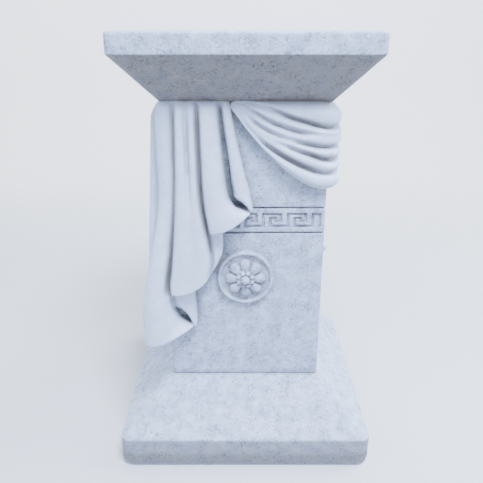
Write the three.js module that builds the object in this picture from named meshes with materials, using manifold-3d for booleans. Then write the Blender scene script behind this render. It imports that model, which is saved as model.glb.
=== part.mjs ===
// A draped garden pedestal in white cast stone, made in one casting: a square plinth with a sloping top,
// a square shaft, and a flared cap. Cloth carved in relief hangs in pleats down the front-left corner and in
// a swag round the corner on its right. A key-pattern band and a round rosette are carved on every face.
// Millimetres, +Z up. The origin is on the ground, under the shaft's centre, and the front faces -Y.
import * as THREE from "three";
import { mergeVertices } from "three/addons/utils/BufferGeometryUtils.js";
import Module from "manifold-3d";

const wasm = await Module();
wasm.setup();

// Driving sizes of the casting.
const plinthSide = 367;
const plinthBandHeight = 47;
const plinthSlopeHeight = 66;
const plinthFootInset = 5; // how far the rounded lower edge draws in
const plinthFootHeight = 16;
const shaftSide = 220;
const shaftHeight = 406;
const capFlareHeight = 60;
const capFasciaHeight = 26;
const capSide = 330;
const edgeRound = 4; // rounding along the long edges of plinth and cap
const plinthCornerRadius = 12;
const shaftCornerRadius = 3;
const capCornerRadius = 9;

// Carved cloth.
const clothEmbed = 8; // how deep each pleat reaches into the shaft
const clothCornerRadius = 16; // radius that the cloth bends round a shaft corner
const clothLap = 1.2; // how far a sheet laps under its neighbour
const clothTuck = 3; // how far the cloth runs up inside the cap
const clothTopRise = 26; // distance over which it swells out there
const clothTopShare = 0.15; // share of its height that it starts with
const rearClothDepth = 0.55; // the rear corner's cloth is flatter

// Key-pattern band.
const keyBandDrop = 159; // from the cap down to the band's middle
const keyBandHeight = 36;
const keyPatternHeight = 17;
const keyGrooveWidth = 3.4;
const keyGrooveDepth = 2.4;
const keyPitchWanted = 31.5;
const keyMargin = 6; // plain end at each corner

// Rosette.
const rosetteDrop = 244; // from the cap down to its centre
const rosetteRadius = 40;
const rosetteRimHeight = 7;
const rosetteFieldHeight = 4;
const rosettePetals = 8;
const rosettePetalRadius = 29;
const rosettePetalHeight = 12;
const rosetteBossRadius = 9;
const rosetteBossHeight = 21;

const shaftFoot = plinthBandHeight + plinthSlopeHeight;
const shaftTop = shaftFoot + shaftHeight;
const capFasciaFoot = shaftTop + capFlareHeight;
const totalHeight = capFasciaFoot + capFasciaHeight;
const halfShaft = shaftSide / 2;

// The cloth is drawn on a face of this width and height, and keeps its proportions on any other.
const drawnFaceSide = 220;
const drawnFaceHeight = 408;
const acrossScale = shaftSide / drawnFaceSide;
const dropScale = shaftHeight / drawnFaceHeight;

// A geometry as a manifold-3d solid, and the way back.
function solidOf(geometry) {
  const bare = geometry.index ? geometry.toNonIndexed() : geometry.clone();
  bare.deleteAttribute("normal");
  bare.deleteAttribute("uv");
  const merged = mergeVertices(bare, 1e-3);
  const mesh = new wasm.Mesh({
    numProp: 3,
    vertProperties: merged.attributes.position.array,
    triVerts: new Uint32Array(merged.index.array),
  });
  return new wasm.Manifold(mesh);
}

function geometryOf(solid) {
  const mesh = solid.getMesh();
  const geometry = new THREE.BufferGeometry();
  geometry.setAttribute("position", new THREE.BufferAttribute(mesh.vertProperties, 3));
  geometry.setIndex(new THREE.BufferAttribute(mesh.triVerts, 1));
  geometry.computeVertexNormals();
  return geometry;
}

// A closed body from rings of points, each ring as long as the last, with a flat cap on both ends.
function loft(rings) {
  const around = rings[0].length;
  const positions = rings.flat().flatMap((p) => [p.x, p.y, p.z]);
  const index = [];
  for (let ring = 0; ring + 1 < rings.length; ring++) {
    for (let i = 0; i < around; i++) {
      const here = ring * around + i;
      const next = ring * around + ((i + 1) % around);
      index.push(here, next, next + around, here, next + around, here + around);
    }
  }
  const last = (rings.length - 1) * around;
  for (let i = 1; i + 1 < around; i++) {
    index.push(0, i + 1, i);
    index.push(last, last + i, last + i + 1);
  }
  const geometry = new THREE.BufferGeometry();
  geometry.setAttribute("position", new THREE.Float32BufferAttribute(positions, 3));
  geometry.setIndex(index);
  return geometry;
}

// One horizontal section of the casting: a square with rounded corners.
function squareRing(side, cornerRadius, z) {
  const cornerSteps = 2;
  const points = [];
  for (let corner = 0; corner < 4; corner++) {
    for (let i = 0; i <= cornerSteps; i++) {
      const angle = (corner + i / cornerSteps) * (Math.PI / 2);
      const centre = new THREE.Vector2(side / 2 - cornerRadius, side / 2 - cornerRadius);
      centre.rotateAround(new THREE.Vector2(), (corner * Math.PI) / 2);
      points.push(new THREE.Vector3(
        centre.x + cornerRadius * Math.cos(angle), centre.y + cornerRadius * Math.sin(angle), z));
    }
  }
  return points;
}

// Plinth, shaft and cap as one body.
function casting() {
  const rings = [
    squareRing(plinthSide - 2 * plinthFootInset, plinthCornerRadius, 0),
    squareRing(plinthSide - plinthFootInset / 2, plinthCornerRadius, plinthFootHeight / 2),
    squareRing(plinthSide, plinthCornerRadius, plinthFootHeight),
    squareRing(plinthSide, plinthCornerRadius, plinthBandHeight - edgeRound / 2),
    squareRing(plinthSide - edgeRound, plinthCornerRadius, plinthBandHeight + edgeRound / 2),
    squareRing(shaftSide, shaftCornerRadius, shaftFoot),
    squareRing(shaftSide, shaftCornerRadius, shaftTop),
    squareRing(capSide - edgeRound / 2, capCornerRadius, capFasciaFoot),
    squareRing(capSide, capCornerRadius, capFasciaFoot + edgeRound / 2),
    squareRing(capSide, capCornerRadius, totalHeight - edgeRound),
    squareRing(capSide - edgeRound, capCornerRadius, totalHeight - edgeRound / 4),
    squareRing(capSide - 2 * edgeRound, capCornerRadius, totalHeight),
  ];
  return solidOf(loft(rings));
}

// A point on the cloth. along is the distance from the front-left corner: positive on the front face and
// negative on the left face. drop is measured down from the cap, and out is the height above the shaft.
function clothPoint(along, drop, out) {
  const face = Math.sign(along) || 1;
  const distance = Math.abs(along) * acrossScale;
  const turn = Math.max(0, 1 - distance / clothCornerRadius) * (Math.PI / 4);
  const normal = new THREE.Vector2(-Math.sin(turn), -Math.cos(turn));
  const base = distance >= clothCornerRadius
    ? new THREE.Vector2(distance, 0)
    : new THREE.Vector2(clothCornerRadius, clothCornerRadius).addScaledVector(normal, clothCornerRadius);
  const flat = base.addScaledVector(normal, out);
  const [x, y] = face > 0 ? [flat.x, flat.y] : [flat.y, flat.x];
  return new THREE.Vector3(x - halfShaft, y - halfShaft, shaftTop - drop * dropScale);
}

// A smooth line on the cloth, through points of (along, drop, height above the shaft).
function clothLine(points) {
  return new THREE.CatmullRomCurve3(points.map((p) => new THREE.Vector3(...p)), false, "catmullrom", 0.5);
}

// Share of its height that the cloth has at a drop: it tucks in under the cap.
function swelling(drop) {
  const below = Math.min(1, Math.max(0, (drop + clothTuck) / clothTopRise));
  return clothTopShare + (1 - clothTopShare) * Math.sin((below * Math.PI) / 2);
}

const towardsBothEnds = (share) => (1 - Math.cos(share * Math.PI)) / 2;
const towardsMiddle = (share) => 0.5 + (Math.sign(share - 0.5) * Math.abs(2 * share - 1) ** 1.3) / 2;

// A sheet of cloth on the shaft's faces: a rounded ridge between each two neighbouring lines. crest gives the
// height of the ridges from the lines' start to their end, and hang is how far the end sags between them.
function facePleats({ lines, crest, hang = 0, fullness = 0.7, across = 6, steps = 9, spacing = towardsBothEnds }, depth) {
  const edges = lines.map(clothLine);
  const ridges = edges.length - 1;
  const columns = across * ridges + 1;
  const outer = [];
  const inner = [];
  for (let row = 0; row <= steps; row++) {
    const t = spacing(row / steps);
    const ends = edges.map((edge) => edge.getPointAt(t));
    ends[0].x -= clothLap;
    ends[ridges].x += clothLap;
    for (let column = 0; column < columns; column++) {
      const ridge = Math.min(ridges - 1, Math.floor(column / across));
      const angle = (column / across - ridge) * Math.PI;
      const share = (1 - Math.cos(angle)) / 2;
      const { x: along, y: level, z: floor } = ends[ridge].clone().lerp(ends[ridge + 1], share);
      const sag = 1 - Math.abs((2 * (ridge + share)) / ridges - 1) ** 1.6;
      const drop = level + hang * t ** 3 * sag;
      const arch = Math.max(0, Math.sin(angle)) ** fullness;
      outer.push(clothPoint(along, drop, depth * swelling(drop) * (floor + (crest(t) - floor) * arch)));
      inner.push(clothPoint(along, drop, -clothEmbed));
    }
  }
  return solidOf(closedSheet(outer, inner, columns, steps + 1));
}

// The pleat on the corner: in plan a round bulge from the end line on one face to its mirror on the other,
// struck from a centre on the corner's diagonal.
function cornerPleat({ line, centre, reach, hang, across, steps }, depth) {
  const edge = clothLine(line);
  const diagonal = new THREE.Vector2(-1, -1).normalize();
  const outer = [];
  const inner = [];
  for (let row = 0; row <= steps; row++) {
    const t = towardsBothEnds(row / steps);
    const { x: along, y: level, z: floor } = edge.getPointAt(t);
    const middle = new THREE.Vector2(-1, -1).multiplyScalar(depth * centre(t));
    for (let column = 0; column <= across; column++) {
      const share = (2 * column) / across - 1;
      const drop = level + hang * t ** 3 * (1 - share * share);
      const rise = depth * swelling(drop);
      const end = new THREE.Vector2(along * acrossScale, -rise * floor).sub(middle);
      const turn = diagonal.angleTo(end) * share;
      const bulge = rise * reach(t) - depth * centre(t);
      const radius = bulge + (end.length() - bulge) * Math.abs(share) ** 4;
      const plan = diagonal.clone().rotateAround(new THREE.Vector2(), turn).multiplyScalar(radius).add(middle);
      outer.push(new THREE.Vector3(plan.x - halfShaft, plan.y - halfShaft, shaftTop - drop * dropScale));
      inner.push(clothPoint(share * Math.max(along, clothEmbed), drop, -clothEmbed));
    }
  }
  return solidOf(closedSheet(outer, inner, across + 1, steps + 1));
}

// A closed body between two grids of points that share their layout.
function closedSheet(outer, inner, columns, rows) {
  const count = columns * rows;
  const index = [];
  const quad = (a, b, c, d) => index.push(a, b, c, a, c, d);
  for (let row = 0; row + 1 < rows; row++) {
    for (let column = 0; column + 1 < columns; column++) {
      const at = row * columns + column;
      quad(at, at + columns, at + columns + 1, at + 1);
      quad(count + at, count + at + 1, count + at + columns + 1, count + at + columns);
    }
    const first = row * columns;
    const last = first + columns - 1;
    quad(first, count + first, count + first + columns, first + columns);
    quad(last, last + columns, count + last + columns, count + last);
  }
  for (let column = 0; column + 1 < columns; column++) {
    const bottom = (rows - 1) * columns + column;
    quad(column, column + 1, count + column + 1, count + column);
    quad(bottom, count + bottom, count + bottom + 1, bottom + 1);
  }
  const geometry = new THREE.BufferGeometry();
  const positions = [...outer, ...inner].flatMap((p) => [p.x, p.y, p.z]);
  geometry.setAttribute("position", new THREE.Float32BufferAttribute(positions, 3));
  geometry.setIndex(index);
  return geometry;
}

const ramp = (from, to) => (t) => from + (to - from) * t;
const flipped = (points) => points.map(([along, ...rest]) => [-along, ...rest]);

// The same sheet on the other face of the corner.
const acrossCorner = (spec) => ({ ...spec, lines: spec.lines.map(flipped).reverse() });

// Pleats that hang at a corner: the first rounds the corner itself, and the others lie on both its faces.
// The lines run down from the cap.
function hangingCloth(depth) {
  const top = -clothTuck;
  const roundPleat = {
    line: [
      [17, top, 3], [16, 60, 5], [14, 127, 8], [8, 213, 11], [4, 248, 13],
      [4, 272, 14], [7, 287, 14], [18, 308, 13], [38, 317, 12],
    ],
    centre: (t) => -6 + 22 * THREE.MathUtils.smoothstep(t, 0.3, 0.8),
    reach: (t) => 8 + 29 * THREE.MathUtils.smoothstep(t, 0.35, 0.9),
    hang: 24, across: 13, steps: 10,
  };
  // Two soft crests that run together lower down.
  const broadPleat = {
    lines: [
      [[17, top, 3], [16, 60, 4], [14, 127, 6], [8, 213, 9], [4, 248, 10], [5, 262, 11]],
      [[33, top, 9], [33, 34, 10], [34, 93, 16], [37, 158, 23], [38, 218, 28], [36, 250, 29]],
      [[47, top, 3], [48, 60, 4], [51, 127, 6], [59, 178, 10], [63, 213, 12], [60, 235, 12]],
    ],
    crest: ramp(15, 32), hang: 6, across: 4, steps: 9,
  };
  // Its hem kicks out sideways under a hollow.
  const highPleat = {
    lines: [
      [[47, top, 3], [48, 60, 4], [51, 127, 6], [56, 174, 10]],
      [[74, top, 3], [75, 22, 3], [78, 60, 4], [82, 99, 5], [85, 118, 6], [89, 129, 9], [96, 136, 12],
        [107, 139, 13], [118, 141, 11]],
    ],
    crest: ramp(14, 32), hang: 6, across: 6, steps: 10,
  };
  const slenderPleat = {
    lines: [
      [[76, top, 4], [80, 22, 5], [85, 47, 6], [90, 79, 8], [93, 111, 10], [97, 122, 12], [107, 129, 12],
        [117, 139, 10]],
      [[88, top, 3], [92, 22, 3], [103, 73, 3], [109, 99, 4], [115, 120, 5], [119, 141, 6]],
    ],
    crest: ramp(12, 23), fullness: 0.6, across: 4, steps: 8,
  };
  const foldUnderHighPleat = {
    lines: [
      [[50, 148, 6], [60, 198, 7], [62, 216, 8], [60, 234, 8]],
      [[77, 148, 6], [78, 184, 6], [77, 204, 7], [71, 218, 7], [61, 236, 8]],
    ],
    crest: ramp(14, 17), across: 3, steps: 5,
  };
  const foldUnderBroadPleat = {
    lines: [
      [[6, 248, 8], [10, 282, 9], [19, 290, 10], [28, 299, 11], [36, 315, 11]],
      [[33, 238, 8], [37, 264, 8], [39, 291, 8], [39, 317, 10]],
    ],
    crest: ramp(18, 16), across: 3, steps: 6,
  };
  const onFace = [broadPleat, highPleat, slenderPleat, foldUnderHighPleat, foldUnderBroadPleat];
  const pleats = [...onFace, ...onFace.map(acrossCorner)].map((spec) => facePleats(spec, depth));
  return [cornerPleat(roundPleat, depth), ...pleats];
}

// The swag: rolls of cloth that sag round a corner between the middles of two faces.
function swag() {
  const top = -clothTuck;
  // The valleys between the rolls, from the gathering point on one face to the corner. A valley that rises to
  // the height of the rolls beside it fades out there.
  const valleys = [
    [[122, 20, 6], [104, 43, 4], [79, 71, 3], [52, 94, 3], [25, 110, 3], [0, 115, 4]],
    [[122, 15, 8], [108, 35, 12], [94, 49, 11], [79, 59, 6], [53, 73, 4], [24, 85, 6], [10, 89, 11], [0, 91, 15]],
    [[121, 11, 9], [111, 27, 13], [92, 39, 14], [72, 49, 14], [51, 56, 12], [40, 60, 8], [14, 68, 6], [0, 73, 6]],
    [[120, 7, 8], [113, 19, 8], [98, 29, 8], [73, 41, 10], [53, 46, 13], [28, 52, 10], [0, 56, 13]],
    [[118, 3, 7], [108, 11, 6], [98, 16, 5], [73, 28, 8], [41, 36, 10], [15, 39, 15], [0, 41, 16]],
    [[115, 0, 6], [105, 1, 8], [90, 5, 8], [73, 11, 6], [54, 18, 5], [29, 25, 6], [0, 32, 13]],
    [[112, top, 4], [73, top, 4], [0, top, 4]],
  ];
  // From one gathering point, round the corner, to the other.
  const roundCorner = (points) => [...flipped(points), ...points.slice(0, -1).reverse()];
  const crest = (t) => 10 + 7 * Math.sin(Math.PI * t) ** 0.7;
  return facePleats({ lines: valleys.map(roundCorner), crest, across: 4, steps: 16, spacing: towardsMiddle }, 1);
}

const turned = (solid, quarterTurns) => solid.rotate([0, 0, 90 * quarterTurns]);

// The grooves of the key-pattern band on the front face: two border lines and the running key between them.
function keyGrooves() {
  const middle = shaftTop - keyBandDrop * dropScale;
  const groove = (x0, x1, z0, z1, width) => {
    const box = new THREE.BoxGeometry(Math.abs(x1 - x0) + width, 2 * keyGrooveDepth, Math.abs(z1 - z0) + width);
    box.translate((x0 + x1) / 2, -halfShaft, (z0 + z1) / 2);
    return solidOf(box);
  };
  const borders = [-1, 1].map((side) => {
    const z = middle + (side * keyBandHeight) / 2;
    return groove(-halfShaft, halfShaft, z, z, keyGrooveWidth / 2);
  });
  const run = shaftSide - 2 * keyMargin - keyGrooveWidth;
  const repeats = Math.round(run / keyPitchWanted);
  const pitch = run / repeats;
  // One repeat of the key's line, as shares of the pitch and of the pattern's height.
  const key = [[0, 0], [0.72, 0], [0.72, 1], [1.42, 1], [1.42, 0.42], [1.22, 0.42], [1.22, 0.68], [1, 0.68], [1, 0]];
  const foot = middle - keyPatternHeight / 2;
  const lines = [];
  for (let repeat = 0; repeat < repeats; repeat++) {
    const path = key.map(([x, z]) => [
      Math.min(run, (repeat + x) * pitch) - run / 2, foot + z * keyPatternHeight]);
    for (let i = 0; i + 1 < path.length; i++) {
      const [[x0, z0], [x1, z1]] = [path[i], path[i + 1]];
      lines.push(groove(x0, x1, z0, z1, keyGrooveWidth));
    }
  }
  return wasm.Manifold.union([...borders, ...lines]);
}

// The rosette on the front face: a rimmed disc with petals round a boss.
function rosette() {
  const steps = rosettePetals * 4;
  const petal = (angle) => Math.abs(Math.cos((angle * rosettePetals) / 2));
  // Radius and height of each ring, from the rim to the boss.
  const ringAt = [
    () => [rosetteRadius, -clothEmbed],
    () => [rosetteRadius, rosetteRimHeight],
    () => [rosetteRadius - 6, rosetteFieldHeight],
    (angle) => [rosettePetalRadius * (0.72 + 0.28 * petal(angle)), rosetteFieldHeight],
    (angle) => [rosettePetalRadius * 0.68, rosetteFieldHeight + (rosettePetalHeight - rosetteFieldHeight) * petal(angle)],
    (angle) => [rosetteBossRadius * 1.1, rosetteFieldHeight + 4 * petal(angle)],
    () => [rosetteBossRadius * 0.85, rosetteBossHeight * 0.7],
    () => [rosetteBossRadius * 0.4, rosetteBossHeight],
  ];
  const centre = shaftTop - rosetteDrop * dropScale;
  const rings = ringAt.map((ring) => Array.from({ length: steps }, (_, i) => {
    const angle = (i / steps) * 2 * Math.PI;
    const [radius, out] = ring(angle);
    return new THREE.Vector3(radius * Math.cos(angle), -halfShaft - out, centre + radius * Math.sin(angle));
  }));
  return solidOf(loft(rings));
}

function pedestal() {
  const cloth = [
    ...hangingCloth(1),
    ...hangingCloth(rearClothDepth).map((fold) => turned(fold, 2)),
    turned(swag(), 1),
    turned(swag(), 3),
  ];
  const faces = [0, 1, 2, 3];
  const grooves = faces.map((face) => turned(keyGrooves(), face));
  const rosettes = faces.map((face) => turned(rosette(), face));
  const stone = casting().subtract(wasm.Manifold.union(grooves));
  return wasm.Manifold.union([stone, ...rosettes, ...cloth]);
}

const material = new THREE.MeshStandardMaterial({ color: 0xd3d8df, roughness: 0.85, metalness: 0 });
const body = new THREE.Mesh(geometryOf(pedestal()), material);
body.name = "pedestal";
const group = new THREE.Group();
group.add(body);

export default group;
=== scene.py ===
# A draped garden pedestal in white cast stone: a square plinth with a sloping top, a square shaft and a
# flared cap, cast in one piece. Carved cloth hangs down two opposite corners and sags in a swag round the
# other two. A key-pattern band and a round rosette are on every face. The carving is worked out in
# millimetres, +Z up, from the ground under the shaft's centre, and the front faces -Y.
import math

import bmesh
import bpy
import numpy as np
from mathutils import Matrix, Vector, noise
from mathutils.bvhtree import BVHTree
from mathutils.kdtree import KDTree


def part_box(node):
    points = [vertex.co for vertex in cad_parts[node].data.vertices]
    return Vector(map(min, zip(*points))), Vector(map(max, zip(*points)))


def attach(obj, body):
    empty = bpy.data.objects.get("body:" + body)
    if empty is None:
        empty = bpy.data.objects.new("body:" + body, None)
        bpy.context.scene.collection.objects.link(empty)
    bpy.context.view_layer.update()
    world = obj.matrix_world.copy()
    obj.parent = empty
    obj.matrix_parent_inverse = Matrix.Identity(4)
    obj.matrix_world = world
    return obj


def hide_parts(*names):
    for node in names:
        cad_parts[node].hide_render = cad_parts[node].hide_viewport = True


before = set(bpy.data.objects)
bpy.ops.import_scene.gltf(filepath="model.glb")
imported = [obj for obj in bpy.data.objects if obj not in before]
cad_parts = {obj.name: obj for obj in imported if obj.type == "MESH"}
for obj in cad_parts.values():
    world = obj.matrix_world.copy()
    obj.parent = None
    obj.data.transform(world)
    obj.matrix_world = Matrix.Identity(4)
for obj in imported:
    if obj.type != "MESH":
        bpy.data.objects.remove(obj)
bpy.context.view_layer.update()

METRES = 0.001  # metres in a millimetre

# The casting. Its overall sizes are those of the solid that it stands for.
solid_low, solid_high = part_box("pedestal")
PLINTH_SIDE = (solid_high.x - solid_low.x) / METRES
TOTAL_HEIGHT = (solid_high.z - solid_low.z) / METRES
PLINTH_BAND_HEIGHT = 47
PLINTH_SLOPE_HEIGHT = 66
PLINTH_FOOT_INSET = 5
PLINTH_FOOT_HEIGHT = 16
SHAFT_SIDE = 220
SHAFT_HEIGHT = 406
CAP_FLARE_HEIGHT = 60
CAP_SIDE = 330
PLINTH_CORNER_RADIUS = 16
SHAFT_CORNER_RADIUS = 3
CAP_CORNER_RADIUS = 13
PLINTH_EDGE_ROUND = 4
CAP_FOOT_ROUND = 2
CAP_TOP_ROUND = 5
CAP_CENTRE_SHARE = 0.05  # the small square that closes the top, as a share of the cap
PLINTH_FOOT_ANGLES = (0, 0.4, 0.8, 1.2)  # radians round the plinth's rounded lower edge
QUIRK = 1.8  # size of the small groove where the shaft meets plinth and cap
CORNER_STEPS = 5

SHAFT_FOOT = PLINTH_BAND_HEIGHT + PLINTH_SLOPE_HEIGHT
SHAFT_TOP = SHAFT_FOOT + SHAFT_HEIGHT
CAP_FASCIA_FOOT = SHAFT_TOP + CAP_FLARE_HEIGHT
HALF_SHAFT = SHAFT_SIDE / 2

# The cast faces aren't quite flat.
WAVE_LENGTH = 95
WAVE_DEPTH = 0.7
RIPPLE_LENGTH = 26
RIPPLE_DEPTH = 0.35
FACE_STEP = 9  # spacing of the points over the flat faces

# Carved cloth. It is drawn on a face of the size given here and fitted to the shaft's own face.
DRAWN_FACE_SIDE = 220
DRAWN_FACE_HEIGHT = 408
ACROSS_SCALE = SHAFT_SIDE / DRAWN_FACE_SIDE
DROP_SCALE = SHAFT_HEIGHT / DRAWN_FACE_HEIGHT
CLOTH_EMBED = 8  # how deep the cloth runs on inside the shaft
CLOTH_CORNER_RADIUS = 16
CLOTH_LAP = 1.2  # how far a sheet of pleats runs on past its side lines
CLOTH_TUCK = 3  # how far the cloth runs up into the cap
CLOTH_TOP_RISE = 26  # height over which the cloth swells out under the cap
CLOTH_TOP_SHARE = 0.15  # share of its full height that it has at its top edge
REAR_CLOTH_DEPTH = 0.55  # the rear cloth's height as a share of the front one's
HEM_POWER = 3  # how near to its hem a sheet starts to sag
HEM_SIDE_POWER = 1.6  # how near to its sides a hem turns up
CORNER_BULGE_POWER = 4  # how near to its sides the corner pleat keeps its bulge
CLOTH_GRAIN = 1.7  # spacing of the points over the cloth
CREASE_DEPTH = 2
CREASE_RIDGE = 26  # the ridges beside a crease rise at most this far above it
CREASE_FADE_HEIGHT = 17  # a valley this high above the shaft has no crease
CREASE_FADE_RUN = 6  # and one lower than that by this much has its whole crease
CREASE_STEPS = 260
CREASE_RISE_STEP = 1.5
CREASE_SPREAD = 2.5  # widths to each side that a crease reaches
HANGING_CREASE_WIDTH = 2.8
SWAG_CREASE_WIDTH = 3.4
SWAG_CREASE_OPENED = 0.8  # share of its whole depth to which a valley of the swag is opened
SWAG_END_HEIGHT = 7
SWAG_SWELL = 10
SWAG_SWELL_POWER = 0.6
SOFTEN_SHARE = 0.5
SOFTEN_PASSES = 2

# Key-pattern band.
KEY_BAND_DROP = 159
KEY_BAND_HEIGHT = 36
KEY_PATTERN_HEIGHT = 17
KEY_GROOVE_WIDTH = 4
KEY_GROOVE_DEPTH = 3
KEY_PITCH_WANTED = 31.5  # made a little longer or shorter to fit whole keys
KEY_MARGIN = 6
KEY_LINE_SHARE = 0.7  # width of the two straight lines, as a share of the pattern's grooves
KEY_LINE_OVERRUN = 8  # the straight lines run out past the shaft's corners

# Rosette.
ROSETTE_DROP = 244
ROSETTE_EMBED = 8
ROSETTE_RADIUS = 40
ROSETTE_RIM_HEIGHT = 7
ROSETTE_RIM_WIDTH = 6
# The rim's round edge, as distances in from its outside and shares of its height.
ROSETTE_RIM_BEAD = ((0, 0.55), (0.5, 0.8), (1.6, 0.97), (2.8, 1), (4.2, 0.93), (5.4, 0.72))
ROSETTE_FIELD_HEIGHT = 3.2
ROSETTE_FIELD_EDGE = 1.2
ROSETTE_PETALS = 8
ROSETTE_PETAL_STEPS = 24
ROSETTE_PETAL_RADIUS = 29
ROSETTE_PETAL_HEIGHT = 12
ROSETTE_INNER_SHARE = 0.45  # length of the inner petals, as a share of the outer ones
ROSETTE_INNER_FOOT_SHARE = 0.8  # the inner petals' foot and height, as shares of the outer ones' height
ROSETTE_INNER_HEIGHT_SHARE = 1.3
# Shares of a petal's length and height between two petals, and what a petal adds to them at its middle.
PETAL_NOTCH = 0.72
PETAL_LOBE = 0.28
PETAL_LOBE_POWER = 0.7
PETAL_VALLEY = 0.45
PETAL_CROWN = 0.55
PETAL_CROWN_POWER = 0.6
PETAL_TIP_POWER = 2.2
PETAL_DOME_POWER = 0.6
PETAL_VEIN_DEPTH = 0.8
PETAL_VEIN_WIDTH = 0.012
PETAL_VEIN_START = 0.9
OUTER_PETAL_SHARES = (1, 0.99, 0.96, 0.91, 0.84, 0.76, 0.68, 0.6)
INNER_PETAL_SHARES = (1, 0.98, 0.94, 0.88, 0.8, 0.72)
BOSS_SHARES = (0, 0.2, 0.4, 0.6, 0.75, 0.88, 0.96, 1)
BOSS_TIP = 0.01
ROSETTE_BOSS_RADIUS = 6.3
ROSETTE_BOSS_HEIGHT = 21

# The stone's finish, and painted light and shade. Sizes are in millimetres, and limits are a range within a
# noise's 0 to 1.
MOTTLE_SIZE = 18
MOTTLE_LIMITS = (0.32, 0.68)
GRAIN_LIMITS = (0.36, 0.58)
GRAIN_PATCH_SIZE = 14
GRAIN_PATCH_LIMITS = (0.35, 0.65)
PIT_CROWD_SIZE = 55
PIT_CROWD_LIMITS = (0.4, 0.7)
PIT_SIZES = (0.02, 0.24)  # the smallest and the largest blow hole, as shares of their spacing
PIT_EDGES = (0.6, 1.1)  # the edge of a blow hole's floor and its rim, as shares of its size
RAGGED_SIZE = 4
SPECK_COLOUR = "#403E3C"
# Painted shade: colour darkened on the cap's underside, the folds' undersides and the plinth's upright sides.
PAINTED_SHADE_COLOUR = "#AC9E8D"
PAINTED_SHADE_LIMITS = (0.2, 0.8)
PAINTED_SHADE_PATCHES = (0.75, 1.2)  # the weakest and the strongest painted shade, as shares of its usual strength
# Painted light: faces that look up are made lighter in colour.
TOP_LIGHT = 1.17  # how much lighter the stone is where it faces the sky
# Painted shade in hollows and creases.
HOLLOW_SHADE_COLOUR = "#CFC3B2"
MIXED_COLOUR = 2  # the place of the colour among a mix's results

# Painted shade in hollows: colour darkened where neighbouring folds close a point in. A point that is closed
# in by less than the open share set below counts as open.
HOLLOW_SHADE_REACH = 32  # how far off a neighbouring fold still closes a point in
HOLLOW_SHADE_LOOKS = 16
HOLLOW_SHADE_CLEARANCE = 0.7
HOLLOW_SHADE_OPEN = 0.06
HOLLOW_SHADE_RANGE = 0.52
HOLLOW_SHADE_POWER = 0.8

# Painted light and shade by facing: lighter where a face looks up, darker where it looks down or stands
# upright. Slopes are how far up or down a face looks, from 0 to 1, where it sets in and where it is full.
EDGE_MARGIN = 5  # the painted shade of the plinth band and of the cap's underside reaches this far past their edges
UNDERSIDE_SLOPES = (0.2, 0.6)
FOLD_SLOPES = (0.05, 0.8)
FOLD_SHADE = 0.55
PLINTH_SHADE = 0.62
GROUND_DARKENING = 0.28
GROUND_DARKENING_DROPS = (18, 26)  # distances below the plinth band's top over which the plinth grows darker towards the ground
TOP_LIGHT_SLOPES = (0.2, 0.7)
SHARP_ANGLE = 35  # degrees between two faces from which their shared edge looks crisp

# Camera. Lens and sensor in millimetres, place in metres, angles in degrees.
CAMERA_LENS = 41.26
CAMERA_SENSOR = 36
CAMERA_PLACE = (-0.0052, -0.830, 0.6075)
CAMERA_DOWNWARD = 21.09
CAMERA_LEFTWARD = 0.03


# Meshes.

def mesh_piece(name, points, faces):
    """A mesh object from points in millimetres."""
    mesh = bpy.data.meshes.new(name)
    mesh.from_pydata([tuple(METRES * c for c in p) for p in points], [], faces)
    mesh.validate()
    piece = bpy.data.objects.new(name, mesh)
    bpy.context.scene.collection.objects.link(piece)
    return piece


def loft(name, rings):
    """A closed body from rings with the same number of points, with a flat cap on both ends."""
    around = len(rings[0])
    faces = []
    for ring in range(len(rings) - 1):
        for i in range(around):
            here = ring * around + i
            after = ring * around + (i + 1) % around
            faces.append((here, after, after + around, here + around))
    last = (len(rings) - 1) * around
    faces.append(tuple(reversed(range(around))))
    faces.append(tuple(range(last, last + around)))
    return mesh_piece(name, [p for ring in rings for p in ring], faces)


def settled(piece):
    """The piece with its modifiers worked into its mesh."""
    evaluated = piece.evaluated_get(bpy.context.evaluated_depsgraph_get())
    mesh = bpy.data.meshes.new_from_object(evaluated)
    old = piece.data
    piece.modifiers.clear()
    piece.data = mesh
    bpy.data.meshes.remove(old)
    return piece


def combined(piece, others, operation):
    """Joins the piece with the others, or cuts it by them, and uses them up."""
    group = bpy.data.collections.new("operands")
    bpy.context.scene.collection.children.link(group)
    for other in others:
        group.objects.link(other)
    step = piece.modifiers.new("combine", "BOOLEAN")
    step.operation = operation
    step.operand_type = "COLLECTION"
    step.collection = group
    step.solver = "MANIFOLD"
    settled(piece)
    for other in others:
        bpy.data.meshes.remove(other.data)
    bpy.data.collections.remove(group)


def turned(piece, quarter_turns):
    """A copy of the piece, turned about the shaft's axis."""
    copy = piece.copy()
    copy.data = piece.data.copy()
    copy.data.transform(Matrix.Rotation(quarter_turns * math.pi / 2, 4, "Z"))
    bpy.context.scene.collection.objects.link(copy)
    return copy


# The casting.

def rounded_profile(corners):
    """Points down the side of the casting, from (half side, height, rounding, corner radius in plan)."""
    points = []
    for i, (half, height, rounding, plan_radius) in enumerate(corners):
        here = Vector((half, height, plan_radius))
        if rounding and 0 < i < len(corners) - 1:
            before = Vector((*corners[i - 1][:2], corners[i - 1][3])) - here
            after = Vector((*corners[i + 1][:2], corners[i + 1][3])) - here
            start = here + before * (rounding / before.to_2d().length)
            end = here + after * (rounding / after.to_2d().length)
            turn = [start.lerp(here, t).lerp(here.lerp(end, t), t) for t in (0, 0.25, 0.5, 0.75, 1)]
        else:
            turn = [here]
        if points:
            run = (turn[0] - points[-1]).to_2d().length
            steps = max(1, round(run / FACE_STEP))
            points += [points[-1].lerp(turn[0], step / steps) for step in range(1, steps)]
        points += turn
    return points


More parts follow.
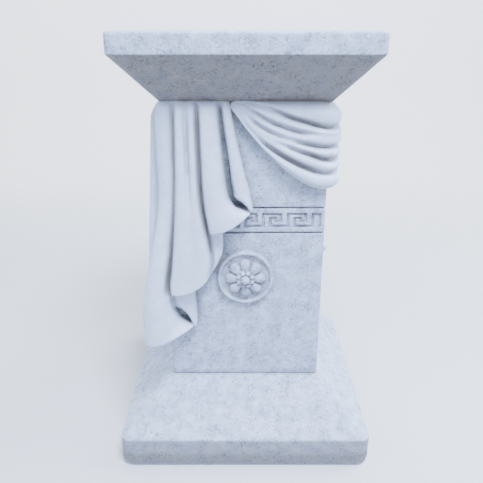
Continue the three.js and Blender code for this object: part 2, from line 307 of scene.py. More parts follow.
def square_ring(half, corner_radius, z):
    """One horizontal section: a square with rounded corners."""
    side_steps = round(SHAFT_SIDE / FACE_STEP)
    straight = half - corner_radius
    points = []
    for corner in range(4):
        turn = Matrix.Rotation(corner * math.pi / 2, 2)
        for i in range(CORNER_STEPS + 1):
            angle = i / CORNER_STEPS * math.pi / 2
            across = straight + corner_radius * math.cos(angle), straight + corner_radius * math.sin(angle)
            points.append((*(turn @ Vector(across)), z))
        for i in range(1, side_steps):
            across = straight - 2 * straight * i / side_steps, half
            points.append((*(turn @ Vector(across)), z))
    return points


def casting():
    """Plinth, shaft and cap, with faces a little uneven all over but for the foot."""
    plinth_half = PLINTH_SIDE / 2
    cap_half = CAP_SIDE / 2
    foot = [
        (plinth_half - PLINTH_FOOT_INSET * (1 - math.sin(angle)), PLINTH_FOOT_HEIGHT * (1 - math.cos(angle)))
        for angle in PLINTH_FOOT_ANGLES
    ]
    profile = rounded_profile([
        *((half, z, 0, PLINTH_CORNER_RADIUS) for half, z in foot),
        (plinth_half, PLINTH_BAND_HEIGHT, PLINTH_EDGE_ROUND, PLINTH_CORNER_RADIUS),
        (HALF_SHAFT + QUIRK, SHAFT_FOOT - QUIRK, 0, SHAFT_CORNER_RADIUS),
        (HALF_SHAFT - QUIRK, SHAFT_FOOT, 0, SHAFT_CORNER_RADIUS),
        (HALF_SHAFT, SHAFT_FOOT + QUIRK, 0, SHAFT_CORNER_RADIUS),
        (HALF_SHAFT, SHAFT_TOP - QUIRK, 0, SHAFT_CORNER_RADIUS),
        (HALF_SHAFT - QUIRK, SHAFT_TOP, 0, SHAFT_CORNER_RADIUS),
        (HALF_SHAFT + QUIRK, SHAFT_TOP + QUIRK, 0, SHAFT_CORNER_RADIUS),
        (cap_half, CAP_FASCIA_FOOT, CAP_FOOT_ROUND, CAP_CORNER_RADIUS),
        (cap_half, TOTAL_HEIGHT, CAP_TOP_ROUND, CAP_CORNER_RADIUS),
        (cap_half * CAP_CENTRE_SHARE, TOTAL_HEIGHT, 0, CAP_CORNER_RADIUS / 2),
    ])
    body = loft("pedestal_casting", [square_ring(half, radius, z) for half, z, radius in profile])
    mesh = body.data
    for vertex in mesh.vertices:
        place = vertex.co / METRES
        if place.z < PLINTH_FOOT_HEIGHT / 2:
            continue
        wave = WAVE_DEPTH * (0.5 + 0.5 * noise.noise(place / WAVE_LENGTH))
        ripple = RIPPLE_DEPTH * (0.5 + 0.5 * noise.noise(place / RIPPLE_LENGTH))
        vertex.co -= vertex.normal * (wave + ripple) * METRES
    return body


# The cloth.

def cloth_point(along, drop, out):
    """A point on the cloth, from its distance along the front (or, if negative, the left) face from the
    corner between them, its drop below the cap, and its height above the shaft."""
    distance = abs(along) * ACROSS_SCALE
    turn = max(0, 1 - distance / CLOTH_CORNER_RADIUS) * math.pi / 4
    normal = Vector((-math.sin(turn), -math.cos(turn)))
    if distance >= CLOTH_CORNER_RADIUS:
        base = Vector((distance, 0))
    else:
        base = Vector((CLOTH_CORNER_RADIUS, CLOTH_CORNER_RADIUS)) + normal * CLOTH_CORNER_RADIUS
    x, y = base + normal * out
    if along < 0:
        x, y = y, x
    return x - HALF_SHAFT, y - HALF_SHAFT, SHAFT_TOP - drop * DROP_SCALE


def cloth_line(points):
    """A smooth line through points of (along, drop, height), to be read at a share of its length."""
    span_steps = 40
    ends = [2 * np.array(points[0]) - points[1], 2 * np.array(points[-1]) - points[-2]]
    knots = np.array([ends[0], *points, ends[1]], float)
    t = np.arange(span_steps)[:, None] / span_steps
    spans = []
    for before, start, end, after in zip(knots, knots[1:], knots[2:], knots[3:]):
        leaving = (end - before) / 2
        arriving = (after - start) / 2
        square = 3 * (end - start) - 2 * leaving - arriving
        cube = 2 * (start - end) + leaving + arriving
        spans.append(start + leaving * t + square * t**2 + cube * t**3)
    line = np.vstack([*spans, knots[-2:-1]])
    length = np.concatenate([[0], np.cumsum(np.linalg.norm(np.diff(line, axis=0), axis=1))])
    return lambda share: [float(np.interp(share * length[-1], length, axis)) for axis in line.T]


def swelling(drop):
    """Share of its height that the cloth has at a drop: it tucks in under the cap."""
    below = min(1, max(0, (drop + CLOTH_TUCK) / CLOTH_TOP_RISE))
    return CLOTH_TOP_SHARE + (1 - CLOTH_TOP_SHARE) * math.sin(below * math.pi / 2)


def closed_sheet(name, outer, inner):
    """A closed body between two grids of points that share their layout."""
    rows, columns = len(outer), len(outer[0])
    count = rows * columns
    faces = []
    for row in range(rows - 1):
        for column in range(columns - 1):
            at = row * columns + column
            below = at + columns
            faces.append((at, below, below + 1, at + 1))
            faces.append((count + at, count + at + 1, count + below + 1, count + below))
        first = row * columns
        last = first + columns - 1
        faces.append((first, count + first, count + first + columns, first + columns))
        faces.append((last, last + columns, count + last + columns, count + last))
    for column in range(columns - 1):
        bottom = (rows - 1) * columns + column
        faces.append((column, column + 1, count + column + 1, count + column))
        faces.append((bottom, count + bottom, count + bottom + 1, bottom + 1))
    return mesh_piece(name, [p for grid in (outer, inner) for row in grid for p in row], faces)


def face_pleats(name, lines, crest, depth=1, hang=0, fullness=0.95, across=20, steps=60):
    """A sheet of cloth on the shaft's faces, with a rounded ridge between each two neighbouring lines."""
    edges = [cloth_line(line) for line in lines]
    ridges = len(edges) - 1
    outer, inner = [], []
    for row in range(steps + 1):
        t = row / steps
        ends = [edge(t) for edge in edges]
        ends[0][0] -= CLOTH_LAP
        ends[-1][0] += CLOTH_LAP
        outer.append([])
        inner.append([])
        for column in range(across * ridges + 1):
            ridge = min(ridges - 1, column // across)
            angle = (column / across - ridge) * math.pi
            share = (1 - math.cos(angle)) / 2
            along, level, floor = (a + (b - a) * share for a, b in zip(ends[ridge], ends[ridge + 1]))
            sag = 1 - abs(2 * (ridge + share) / ridges - 1) ** HEM_SIDE_POWER
            drop = level + hang * t**HEM_POWER * sag
            arch = max(0, math.sin(angle)) ** fullness
            out = depth * swelling(drop) * (floor + (crest(t) - floor) * arch)
            outer[-1].append(cloth_point(along, drop, out))
            inner[-1].append(cloth_point(along, drop, -CLOTH_EMBED))
    return closed_sheet(name, outer, inner)


def corner_pleat(name, line, centre, reach, hang, depth, across=60, steps=90):
    """The pleat on the corner: in plan a round bulge from its side line on one face to the mirror of that
    line on the other. The bulge's middle and reach are given along the pleat."""
    edge = cloth_line(line)
    diagonal = Vector((-1, -1)).normalized()
    outer, inner = [], []
    for row in range(steps + 1):
        t = row / steps
        along, level, floor = edge(t)
        middle = Vector((-1, -1)) * depth * centre(t)
        outer.append([])
        inner.append([])
        for column in range(across + 1):
            share = 2 * column / across - 1
            drop = level + hang * t**HEM_POWER * (1 - share * share)
            rise = depth * swelling(drop)
            end = Vector((along * ACROSS_SCALE, -rise * floor)) - middle
            turn = -diagonal.angle_signed(end) * share
            bulge = rise * reach(t) - depth * centre(t)
            radius = bulge + (end.length - bulge) * abs(share) ** CORNER_BULGE_POWER
            x, y = Matrix.Rotation(turn, 2) @ diagonal * radius + middle
            outer[-1].append((x - HALF_SHAFT, y - HALF_SHAFT, SHAFT_TOP - drop * DROP_SCALE))
            inner[-1].append(cloth_point(share * max(along, CLOTH_EMBED), drop, -CLOTH_EMBED))
    return closed_sheet(name, outer, inner)


def ramp(start, end):
    """A height that changes evenly along the cloth."""
    return lambda t: start + (end - start) * t


def eased(t, start, end):
    """Rises smoothly from 0 to 1 while t goes from start to end."""
    share = min(1, max(0, (t - start) / (end - start)))
    return share * share * (3 - 2 * share)


def flipped(points):
    """The points mirrored onto the corner's other face."""
    return [(-along, *rest) for along, *rest in points]


def softened(cloth):
    """The cloth with its edges rubbed down, as in a worked casting."""
    soften = cloth.modifiers.new("soften", "SMOOTH")
    soften.factor = SOFTEN_SHARE
    soften.iterations = SOFTEN_PASSES
    return settled(cloth)


def creased(cloth, lines, depth, width, opened=1, round_corner=False):
    """Opens the valley along each line of the cloth towards its own floor and a little deeper. A line that
    rides up to the ridges beside it fades out. Round a corner the valleys open towards its middle."""
    furrows = []
    for line in lines:
        for share in np.linspace(0, 1, CREASE_STEPS):
            along, drop, floor = line(share)
            rise = depth * swelling(drop)
            bottom = Vector(cloth_point(along, drop, rise * floor))
            if round_corner:
                outward = Vector(cloth_point(along, drop, rise * floor + 1)) - bottom
            else:
                outward = Vector((0, -1, 0)) if along > 0 else Vector((-1, 0, 0))
            reach = opened * min(1, max(0, (CREASE_FADE_HEIGHT - floor) / CREASE_FADE_RUN))
            if reach == 0:
                continue
            for height in np.arange(0, depth * CREASE_RIDGE, CREASE_RISE_STEP):
                deep = reach * (height + CREASE_DEPTH * rise)
                furrows.append((bottom + outward * height, -outward, deep))
    nearest = KDTree(len(furrows))
    for i, (place, _, _) in enumerate(furrows):
        nearest.insert(place, i)
    nearest.balance()
    for vertex in cloth.data.vertices:
        _, i, distance = nearest.find(vertex.co / METRES)
        if distance < CREASE_SPREAD * width:
            _, inward, deep = furrows[i]
            vertex.co += inward * deep * math.exp(-((distance / width) ** 2)) * METRES
    return softened(cloth)


def one_cloth(name, sheets):
    """The sheets melted into one skin."""
    mesh = bmesh.new()
    for sheet in sheets:
        mesh.from_mesh(sheet.data)
        bpy.data.meshes.remove(sheet.data)
    cloth = bpy.data.objects.new(name, bpy.data.meshes.new(name))
    bpy.context.scene.collection.objects.link(cloth)
    mesh.to_mesh(cloth.data)
    mesh.free()
    skin = cloth.modifiers.new("skin", "REMESH")
    skin.mode = "VOXEL"
    skin.voxel_size = CLOTH_GRAIN * METRES
    return softened(cloth)


def hanging_cloth(name, depth):
    """Pleats that hang at a corner: the first rounds the corner itself, and the others lie on both its
    faces. A line's points are distance along the face, drop below the cap and height above the shaft."""
    top = -CLOTH_TUCK
    sheets = [corner_pleat(
        "round_pleat",
        [(17, top, 3), (16, 60, 5), (14, 127, 8), (8, 213, 11), (4, 248, 13),
         (4, 272, 14), (7, 287, 14), (18, 308, 13), (38, 317, 12)],
        centre=lambda t: -6 + 22 * eased(t, 0.3, 0.8),
        reach=lambda t: 8 + 29 * eased(t, 0.35, 0.9),
        hang=24, depth=depth)]
    broad_pleat = dict(
        lines=[
            [(17, top, 3), (16, 60, 4), (14, 127, 6), (8, 213, 9), (4, 248, 10), (5, 262, 11)],
            [(33, top, 5), (33, 34, 6), (34, 93, 12), (37, 158, 22), (38, 218, 28), (36, 250, 29)],
            [(47, top, 3), (48, 60, 4), (51, 127, 6), (59, 178, 10), (63, 213, 12), (60, 235, 12)],
        ],
        crest=ramp(15, 32), hang=6)
    high_pleat = dict(
        lines=[
            [(47, top, 3), (48, 60, 4), (51, 127, 6), (56, 174, 10)],
            [(74, top, 3), (75, 22, 3), (78, 60, 4), (82, 99, 5), (85, 118, 6), (89, 129, 9), (96, 136, 12),
             (107, 139, 13), (118, 141, 11)],
        ],
        crest=ramp(14, 32), hang=6, across=30)
    slender_pleat = dict(
        lines=[
            [(76, top, 4), (80, 22, 5), (85, 47, 6), (90, 79, 8), (93, 111, 10), (97, 122, 12),
             (107, 129, 12), (117, 139, 10)],
            [(88, top, 3), (92, 22, 3), (103, 73, 3), (109, 99, 4), (115, 120, 5), (119, 141, 6)],
        ],
        crest=ramp(12, 23), fullness=0.8)
    fold_under_high_pleat = dict(
        lines=[
            [(50, 148, 6), (60, 198, 7), (62, 216, 8), (60, 234, 8)],
            [(77, 148, 6), (78, 184, 6), (77, 204, 7), (71, 218, 7), (61, 236, 8)],
        ],
        crest=ramp(14, 17))
    fold_under_broad_pleat = dict(
        lines=[
            [(6, 248, 8), (10, 282, 9), (19, 290, 10), (28, 299, 11), (36, 315, 11)],
            [(33, 238, 8), (37, 264, 8), (39, 291, 8), (39, 317, 10)],
        ],
        crest=ramp(18, 16))
    for pleat in (broad_pleat, high_pleat, slender_pleat, fold_under_high_pleat, fold_under_broad_pleat):
        sheets.append(face_pleats("pleat", depth=depth, **pleat))
        mirrored = dict(pleat, lines=[flipped(line) for line in reversed(pleat["lines"])])
        sheets.append(face_pleats("pleat", depth=depth, **mirrored))
    valleys = [
        broad_pleat["lines"][0],
        [(33, top, 11), (33, 34, 12), (34, 80, 14), (35, 110, 16)],
        broad_pleat["lines"][2],
        [(76, top, 0), (79, 30, 0), (82, 60, 1), (86, 90, 2), (92, 115, 3)],
    ]
    creases = [cloth_line(line) for valley in valleys for line in (valley, flipped(valley))]
    return creased(one_cloth(name, sheets), creases, depth, HANGING_CREASE_WIDTH)


def swag(name):
    """Rolls of cloth that sag round a corner between the middles of two faces."""
    top = -CLOTH_TUCK
    valleys = [
        [(131, 5, 3), (121, 16, 4), (104, 38, 4), (79, 66, 3), (52, 91, 3), (25, 108, 3), (0, 113, 4)],
        [(131, 3, 4), (119, 12, 7), (108, 29, 11), (94, 44, 11), (79, 56, 6), (53, 72, 4), (24, 85, 6),
         (0, 91, 11)],
        [(130, 1, 5), (117, 9, 9), (109, 22, 13), (92, 36, 14), (72, 48, 14), (48, 58, 11), (24, 66, 7),
         (0, 73, 6)],
        [(129, 0, 5), (116, 5, 8), (98, 25, 8), (73, 39, 10), (53, 46, 13), (28, 52, 9), (0, 56, 10)],
        [(128, -1, 5), (113, 2, 6), (98, 13, 5), (73, 26, 8), (41, 36, 10), (15, 39, 15), (0, 41, 16)],
        [(127, -2, 4), (109, -1, 7), (90, 4, 8), (73, 10, 6), (54, 18, 5), (29, 25, 5), (0, 32, 8)],
        [(126, top, 3), (73, top, 4), (0, top, 4)],
    ]
    lines = [[*flipped(valley), *valley[-2::-1]] for valley in valleys]

    def crest(t):
        """The rolls are fullest on the corner and thin out to both ends."""
        swell = math.sin(math.pi * t) ** SWAG_SWELL_POWER if 0 < t < 1 else 0
        return SWAG_END_HEIGHT + SWAG_SWELL * swell

    rolls = face_pleats("rolls", lines, crest, across=16, steps=140)
    creases = [cloth_line(line) for line in lines[1:-1]]
    return creased(one_cloth(name, [rolls]), creases, 1, SWAG_CREASE_WIDTH, opened=SWAG_CREASE_OPENED,
                   round_corner=True)


# The key band.

def groove(x0, x1, z0, z1, width):
    """A straight groove in the front face, with soft edges and leaning sides."""
    levels = [(-1, 0.75), (0, 0.75), (0.25, 0.52), (1, 0.4)]  # shares of the depth, and of the width each way
    rings = []
    for deep, wide in levels:
        spread = wide * width
        left, right = min(x0, x1) - spread, max(x0, x1) + spread
        low, high = min(z0, z1) - spread, max(z0, z1) + spread
        y = -HALF_SHAFT + deep * KEY_GROOVE_DEPTH
        rings.append([(left, y, low), (left, y, high), (right, y, high), (right, y, low)])
    return loft("groove", rings)


def key_grooves():
    """The grooves of the key-pattern band on the front face."""
    middle = SHAFT_TOP - KEY_BAND_DROP * DROP_SCALE
    line_end = HALF_SHAFT + KEY_LINE_OVERRUN
    grooves = []
    for side in (-1, 1):
        z = middle + side * KEY_BAND_HEIGHT / 2
        grooves.append(groove(-line_end, line_end, z, z, KEY_GROOVE_WIDTH * KEY_LINE_SHARE))
    run = SHAFT_SIDE - 2 * KEY_MARGIN - KEY_GROOVE_WIDTH
    repeats = round(run / KEY_PITCH_WANTED)
    pitch = run / repeats
    # The turns of one key, as shares of the pitch and of the pattern's height.
    key = [(0, 0), (0.72, 0), (0.72, 1), (1.42, 1), (1.42, 0.42), (1.22, 0.42), (1.22, 0.68), (1, 0.68),
           (1, 0)]
    foot = middle - KEY_PATTERN_HEIGHT / 2
    for repeat in range(repeats):
        path = [(min(run, (repeat + x) * pitch) - run / 2, foot + z * KEY_PATTERN_HEIGHT) for x, z in key]
        for (x0, z0), (x1, z1) in zip(path, path[1:]):
            grooves.append(groove(x0, x1, z0, z1, KEY_GROOVE_WIDTH))
    return grooves


# The rosette.

def rosette():
    """A rimmed disc with two rings of petals round a boss, on the front face."""
    steps = ROSETTE_PETALS * ROSETTE_PETAL_STEPS
    centre = SHAFT_TOP - ROSETTE_DROP * DROP_SCALE
    field = ROSETTE_FIELD_HEIGHT
    field_radius = ROSETTE_RADIUS - ROSETTE_RIM_WIDTH
    plain_rings = [(ROSETTE_RADIUS, -ROSETTE_EMBED)]
    plain_rings += [(ROSETTE_RADIUS - inset, ROSETTE_RIM_HEIGHT * share) for inset, share in ROSETTE_RIM_BEAD]
    plain_rings += [(field_radius, field), (field_radius - ROSETTE_FIELD_EDGE, field)]
    rings = [lambda angle, place=place: place for place in plain_rings]

    def petals(radius, foot, height, share, turn):
        """A ring of petals at a share of their length, with a vein down each."""
        def ring(angle):
            tip = abs(math.cos(ROSETTE_PETALS * angle / 2 + turn))
            length = radius * (PETAL_NOTCH + PETAL_LOBE * tip**PETAL_LOBE_POWER)
            vein = math.exp(-(1 - tip) / PETAL_VEIN_WIDTH) if tip > PETAL_VEIN_START else 0
            dome = math.sqrt(max(0, 1 - share**PETAL_TIP_POWER)) ** PETAL_DOME_POWER
            rise = dome * (PETAL_VALLEY + PETAL_CROWN * tip**PETAL_CROWN_POWER)
            return length * share, foot + (height - foot) * rise - PETAL_VEIN_DEPTH * vein * (1 - share)
        return ring

    outer_height = ROSETTE_PETAL_HEIGHT
    rings += [petals(ROSETTE_PETAL_RADIUS, field, outer_height, share, 0) for share in OUTER_PETAL_SHARES]
    inner_radius = ROSETTE_PETAL_RADIUS * ROSETTE_INNER_SHARE
    inner_foot = outer_height * ROSETTE_INNER_FOOT_SHARE
    inner_height = outer_height * ROSETTE_INNER_HEIGHT_SHARE
    between = math.pi / 2  # each inner petal lies between two outer ones
    rings += [petals(inner_radius, inner_foot, inner_height, share, between) for share in INNER_PETAL_SHARES]
    for share in BOSS_SHARES:
        radius = ROSETTE_BOSS_RADIUS * math.sqrt(max(BOSS_TIP, 1 - share**2))
        out = outer_height + (ROSETTE_BOSS_HEIGHT - outer_height) * share
        rings.append(lambda angle, place=(radius, out): place)
    points = []
    for ring in rings:
        points.append([])
        for i in range(steps):
            angle = 2 * math.pi * i / steps
            radius, out = ring(angle)
            z = centre + radius * math.sin(angle)
            points[-1].append((radius * math.cos(angle), -HALF_SHAFT - out, z))
    return loft("rosette", points)


# Finishes, and painted light and shade.

def linear(hex_colour):
    """An sRGB hex colour as linear red, green, blue and alpha."""
    shares = [int(hex_colour[i:i + 2], 16) / 255 for i in (1, 3, 5)]
    return [c / 12.92 if c <= 0.04045 else ((c + 0.055) / 1.055) ** 2.4 for c in shares] + [1]


def add_node(tree, kind, settings=None, **links):
    """A node with its settings. Each link is an input, by name, and its value or the output that feeds it.
    A name such as i7 is the input in that place, for inputs that share a name."""
    node = tree.nodes.new(kind)
    for key, value in (settings or {}).items():
        setattr(node, key, value)
    for name, source in links.items():
        place = name[1:]
        socket = node.inputs[int(place) if place.isdigit() else name.replace("_", " ")]
        if isinstance(source, bpy.types.NodeSocket):
            tree.links.new(source, socket)
        else:
            socket.default_value = source
    return node


def cast_stone(name, light, dark, grain_mm, grain_shade, grain_depth_mm, pit_spacing_mm, pit_shade,
               roughness):
    """White cast stone: crushed limestone in cement, matt, with a fine grain and scattered blow holes. Shade
    is painted into its hollows, onto its undersides and upright sides, and light onto what faces up. Its
    grains are
    1 mm and less, too fine for the render, so they are drawn two to three times coarser."""
    material = bpy.data.materials.new(name)
    material.use_nodes = True
    tree = material.node_tree
    tree.nodes.clear()
    place = add_node(tree, "ShaderNodeTexCoord").outputs["Object"]
    mottle = add_node(tree, "ShaderNodeTexNoise", Vector=place, Scale=1 / (MOTTLE_SIZE * METRES), Detail=5.0,
                      Roughness=0.75)
    colour = add_node(tree, "ShaderNodeValToRGB", i0=mottle.outputs["Fac"])
    for stop, position, tone in zip(colour.color_ramp.elements, MOTTLE_LIMITS, (dark, light)):
        stop.position = position
        stop.color = linear(tone)

    grain = add_node(tree, "ShaderNodeTexNoise", Vector=place, Scale=1 / (grain_mm * METRES), Detail=2.0,
                     Roughness=0.6)
    patches = add_node(tree, "ShaderNodeTexNoise", Vector=place, Scale=1 / (GRAIN_PATCH_SIZE * METRES),
                       Detail=3.0)
    worn = add_node(tree, "ShaderNodeMapRange", Value=patches.outputs["Fac"], From_Min=GRAIN_PATCH_LIMITS[0],
                    From_Max=GRAIN_PATCH_LIMITS[1], To_Min=1.0, To_Max=grain_shade)
    speck = add_node(tree, "ShaderNodeMapRange", Value=grain.outputs["Fac"], From_Min=GRAIN_LIMITS[0],
                     From_Max=GRAIN_LIMITS[1], To_Min=worn.outputs["Result"], To_Max=1.0)
    ragged = add_node(tree, "ShaderNodeTexNoise", Vector=place, Scale=1 / (RAGGED_SIZE * METRES), Detail=2.0)
    pull = add_node(tree, "ShaderNodeVectorMath", {"operation": "SCALE"}, i0=ragged.outputs["Color"],
                    Scale=RAGGED_SIZE * METRES)
    pulled = add_node(tree, "ShaderNodeVectorMath", {"operation": "ADD"}, i0=place, i1=pull.outputs["Vector"])
    holes = add_node(tree, "ShaderNodeTexVoronoi", Vector=pulled.outputs["Vector"],
                     Scale=1 / (pit_spacing_mm * METRES))
    crowd = add_node(tree, "ShaderNodeTexNoise", Vector=place, Scale=1 / (PIT_CROWD_SIZE * METRES),
                     Detail=1.0)
    hole_size = add_node(tree, "ShaderNodeMapRange", Value=crowd.outputs["Fac"], From_Min=PIT_CROWD_LIMITS[0],
                         From_Max=PIT_CROWD_LIMITS[1], To_Min=PIT_SIZES[0], To_Max=PIT_SIZES[1])
    hole_edge = add_node(tree, "ShaderNodeMath", {"operation": "DIVIDE"}, i0=holes.outputs["Distance"],
                         i1=hole_size.outputs["Result"])
    hole = add_node(tree, "ShaderNodeMapRange", Value=hole_edge.outputs["Value"], From_Min=PIT_EDGES[0],
                    From_Max=PIT_EDGES[1])
    hole_shade = add_node(tree, "ShaderNodeMapRange", Value=hole.outputs["Result"], To_Min=pit_shade,
                          To_Max=1.0)
    shade = add_node(tree, "ShaderNodeMath", {"operation": "MULTIPLY"}, i0=speck.outputs["Result"],
                     i1=hole_shade.outputs["Result"])
    stone = add_node(tree, "ShaderNodeMix", {"data_type": "RGBA"}, i0=shade.outputs["Value"],
                     i6=linear(SPECK_COLOUR), i7=colour.outputs["Color"])

    # Painted shade on undersides and upright sides, made patchy by the mottle.
    painted_shade = add_node(tree, "ShaderNodeAttribute", {"attribute_name": "painted_shade"})
    patchy = add_node(tree, "ShaderNodeMapRange", Value=mottle.outputs["Fac"], From_Min=PAINTED_SHADE_LIMITS[0],
                      From_Max=PAINTED_SHADE_LIMITS[1], To_Min=PAINTED_SHADE_PATCHES[0], To_Max=PAINTED_SHADE_PATCHES[1])
    painted_shade_share = add_node(tree, "ShaderNodeMath", {"operation": "MULTIPLY"}, i0=painted_shade.outputs["Fac"],
                           i1=patchy.outputs["Result"])
    with_painted_shade = add_node(tree, "ShaderNodeMix", {"data_type": "RGBA", "blend_type": "MULTIPLY"},
                         i0=painted_shade_share.outputs["Value"], i6=stone.outputs[MIXED_COLOUR],
                         i7=linear(PAINTED_SHADE_COLOUR))
    # Painted light on faces that look up.
    top_light_share = add_node(tree, "ShaderNodeAttribute", {"attribute_name": "painted_top_light"})
    with_painted_light = add_node(tree, "ShaderNodeMix", {"data_type": "RGBA", "blend_type": "MULTIPLY"},
                        i0=top_light_share.outputs["Fac"], i6=with_painted_shade.outputs[MIXED_COLOUR],
                        i7=[TOP_LIGHT] * 3 + [1])
    # Painted shade in hollows and creases.
    painted_hollow_shade = add_node(tree, "ShaderNodeAttribute", {"attribute_name": "painted_hollow_shade"})
    with_hollow_shade = add_node(tree, "ShaderNodeMix", {"data_type": "RGBA", "blend_type": "MULTIPLY"},
                     i0=painted_hollow_shade.outputs["Fac"], i6=with_painted_light.outputs[MIXED_COLOUR],
                     i7=linear(HOLLOW_SHADE_COLOUR))

    height = add_node(tree, "ShaderNodeMath", {"operation": "MULTIPLY"}, i0=grain.outputs["Fac"],
                      i1=hole.outputs["Result"])
    bump = add_node(tree, "ShaderNodeBump", Strength=0.8, Distance=grain_depth_mm * METRES,
                    Height=height.outputs["Value"])
    shader = add_node(tree, "ShaderNodeBsdfPrincipled", Base_Color=with_hollow_shade.outputs[MIXED_COLOUR],
                      Normal=bump.outputs["Normal"], Roughness=roughness, IOR=1.5)
    add_node(tree, "ShaderNodeOutputMaterial", Surface=shader.outputs["BSDF"])
    return material


def keep_share(piece, name, shares):
    """Keeps a number from 0 to 1 for each of the piece's points, for its finish to read."""
    kept = piece.data.attributes.new(name, "FLOAT", "POINT")
    kept.data.foreach_set("value", np.clip(shares, 0, 1).astype(np.float32))


def paint_hollow_shade(pieces):
    """Works out how closed in each point is, from 0 in the open to 1 deep in a fold, for the shade painted
    into hollows.
    """
    points, faces = [], []
    for piece in pieces:
        first = len(points)
        points += [tuple(vertex.co) for vertex in piece.data.vertices]
        faces += [[first + i for i in face.vertices] for face in piece.data.polygons]
    stone = BVHTree.FromPolygons(points, faces)
    looks = []
    for i in range(HOLLOW_SHADE_LOOKS):
        rise = math.sqrt(1 - (i + 0.5) / HOLLOW_SHADE_LOOKS)
        flat = math.sqrt(1 - rise * rise)
        around = i * math.pi * (3 - math.sqrt(5))
        looks.append(Vector((flat * math.cos(around), flat * math.sin(around), rise)))
    for piece in pieces:
        shares = []
        for vertex in piece.data.vertices:
            facing = vertex.normal.to_track_quat("Z", "Y")
            start = vertex.co + vertex.normal * HOLLOW_SHADE_CLEARANCE * METRES
            closed = 0
            for look in looks:
                distance = stone.ray_cast(start, facing @ look, HOLLOW_SHADE_REACH * METRES)[3]
                if distance is not None:
                    closed += 1 - distance / (HOLLOW_SHADE_REACH * METRES)
            shares.append(closed / HOLLOW_SHADE_LOOKS)
        closed_in_shade = np.clip((np.array(shares) - HOLLOW_SHADE_OPEN) / HOLLOW_SHADE_RANGE, 0, 1) ** HOLLOW_SHADE_POWER
        keep_share(piece, "painted_hollow_shade", closed_in_shade)


def paint_light_and_shade(piece):
    """Paints light onto what faces up and shade onto what faces down or stands upright: the underside of the
    cap, the undersides of the folds, and the upright sides of the plinth, most of all at the ground."""
    painted_shade, painted_top_light = [], []
    for vertex in piece.data.vertices:
        height = vertex.co.z / METRES
        upward = vertex.normal.z
        if height > SHAFT_TOP - EDGE_MARGIN and piece.name == "pedestal_casting":
            share = eased(-upward, *UNDERSIDE_SLOPES)
        elif height < PLINTH_BAND_HEIGHT + EDGE_MARGIN:
            upright = 1 - eased(abs(upward), *UNDERSIDE_SLOPES)
            towards_ground = eased(PLINTH_BAND_HEIGHT - height, *GROUND_DARKENING_DROPS)
            share = upright * (PLINTH_SHADE + GROUND_DARKENING * towards_ground)
        else:
            share = FOLD_SHADE * eased(-upward, *FOLD_SLOPES)
        painted_shade.append(share)
        painted_top_light.append(eased(upward, *TOP_LIGHT_SLOPES))
    keep_share(piece, "painted_shade", np.array(painted_shade))
    keep_share(piece, "painted_top_light", np.array(painted_top_light))


def dressed(piece, stone):
    """Gives the piece its stone, shades it smooth up to its crisp edges, and sets it on the pedestal."""
    piece.data.materials.clear()
    piece.data.materials.append(stone)
    piece.data.polygons.foreach_set("use_smooth", [True] * len(piece.data.polygons))
    piece.data.set_sharp_from_angle(angle=math.radians(SHARP_ANGLE))
    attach(piece, "root")
    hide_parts("pedestal")


# The pedestal.

body = casting()
cuts = key_grooves()
combined(body, [turned(cut, face) for face in range(4) for cut in cuts], "DIFFERENCE")
disc = rosette()
combined(body, [turned(disc, face) for face in range(4)], "UNION")
for pattern in (*cuts, disc):
    bpy.data.meshes.remove(pattern.data)

front_cloth = hanging_cloth("front_corner_cloth", 1)
rear_cloth = hanging_cloth("rear_corner_cloth", REAR_CLOTH_DEPTH)
rear_cloth.data.transform(Matrix.Rotation(math.pi, 4, "Z"))
right_swag = swag("right_corner_swag")
left_swag = turned(right_swag, 3)
left_swag.name = "left_corner_swag"
right_swag.data.transform(Matrix.Rotation(math.pi / 2, 4, "Z"))

cloths = (front_cloth, rear_cloth, right_swag, left_swag)
# Shade painted into hollows and creases, then light and shade painted by which way each face looks.
paint_hollow_shade((body, *cloths))
paint_light_and_shade(body)
# Sandblasting opens the cast's skin: the eye sees mottle, a sharp grain with dark specks, and blow holes.
sandblasted = cast_stone(
    "sandblasted_cast_stone", light="#CFDCF6", dark="#9FACC6", grain_mm=3.2, grain_shade=0.52,
    grain_depth_mm=1.7, pit_spacing_mm=7, pit_shade=0.45, roughness=0.9)
# The cloth was rubbed smooth while it was green: it is closed, paler and almost plain.
rubbed = cast_stone(
    "rubbed_cast_stone", light="#D6E4FF", dark="#C6D4F0", grain_mm=2.4, grain_shade=0.9,
    grain_depth_mm=0.25, pit_spacing_mm=22, pit_shade=0.85, roughness=0.8)
dressed(body, sandblasted)
# The cloth gets the same painted light and shade.
for cloth in cloths:
    paint_light_and_shade(cloth)
    dressed(cloth, rubbed)


# Surroundings, in metres.

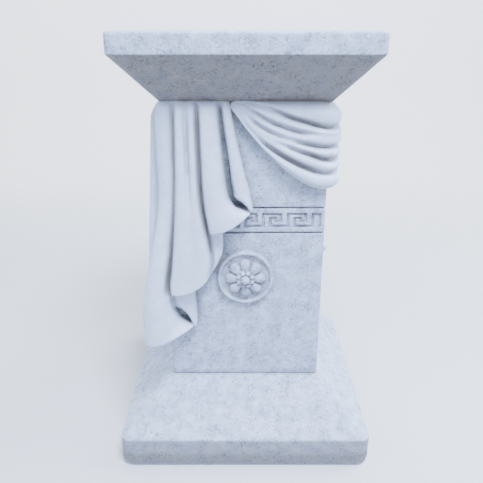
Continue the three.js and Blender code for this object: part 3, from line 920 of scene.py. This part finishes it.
def sweep():
    """A pale floor that curves up into a backdrop and brightens towards it."""
    reach, cove_start, cove, height = 14.0, 1.4, 0.7, 5.0
    line = [(-reach, 0.0), (cove_start, 0.0)]
    for angle in np.linspace(0.1, math.pi / 2, 14):
        line.append((cove_start + cove * math.sin(angle), cove * (1 - math.cos(angle))))
    line.append((line[-1][0], height))
    points = [(x, y, z) for y, z in line for x in (-reach, reach)]
    faces = [(i, i + 1, i + 3, i + 2) for i in range(0, len(points) - 2, 2)]
    mesh = bpy.data.meshes.new("floor")
    mesh.from_pydata(points, [], faces)
    mesh.polygons.foreach_set("use_smooth", [True] * len(faces))
    floor = bpy.data.objects.new("floor", mesh)
    bpy.context.scene.collection.objects.link(floor)
    paint = bpy.data.materials.new("pale_floor")
    paint.use_nodes = True
    tree = paint.node_tree
    tree.nodes.clear()
    place = add_node(tree, "ShaderNodeTexCoord").outputs["Object"]
    split = add_node(tree, "ShaderNodeSeparateXYZ", Vector=place)
    behind = add_node(tree, "ShaderNodeMapRange", {"interpolation_type": "SMOOTHSTEP"},
                      Value=split.outputs["Y"], From_Min=0.2, From_Max=2.0, To_Min=0.0, To_Max=1.5)
    shader = add_node(tree, "ShaderNodeBsdfPrincipled", Base_Color=linear("#E6E8EB"), Roughness=0.9,
                      Emission_Color=linear("#F4F7FC"), Emission_Strength=behind.outputs["Result"])
    add_node(tree, "ShaderNodeOutputMaterial", Surface=shader.outputs["BSDF"])
    mesh.materials.append(paint)
    return floor


sweep()


def soft_light(name, place, aim, size, power, colour):
    """A square soft light, with its power in watts."""
    lamp = bpy.data.lights.new(name, "AREA")
    lamp.size = size
    lamp.energy = power
    lamp.color = linear(colour)[:3]
    light = bpy.data.objects.new(name, lamp)
    light.location = place
    light.rotation_euler = (Vector(aim) - Vector(place)).to_track_quat("-Z", "Y").to_euler()
    bpy.context.scene.collection.objects.link(light)


soft_light("key_light", (0.3, -0.88, 1.9), (0, 0, 0.35), 0.6, 96, "#D8E6FF")
soft_light("right_light", (1.4, 0.2, 1.3), (0, 0, 0.3), 0.8, 44, "#E3EDFF")
soft_light("left_light", (-1.3, -0.6, 1.2), (0, 0, 0.2), 0.9, 14, "#DCE8FF")
world = bpy.data.worlds.new("pale_studio")
bpy.context.scene.world = world
world.use_nodes = True
sky = world.node_tree.nodes["Background"].inputs
sky["Color"].default_value = linear("#E3ECFB")
sky["Strength"].default_value = 0.42

camera_data = bpy.data.cameras.new("camera")
camera_data.lens = CAMERA_LENS
camera_data.sensor_width = CAMERA_SENSOR
camera = bpy.data.objects.new("camera", camera_data)
camera.location = CAMERA_PLACE
camera.rotation_euler = (math.radians(90 - CAMERA_DOWNWARD), 0, math.radians(CAMERA_LEFTWARD))
bpy.context.scene.collection.objects.link(camera)
bpy.context.scene.camera = camera
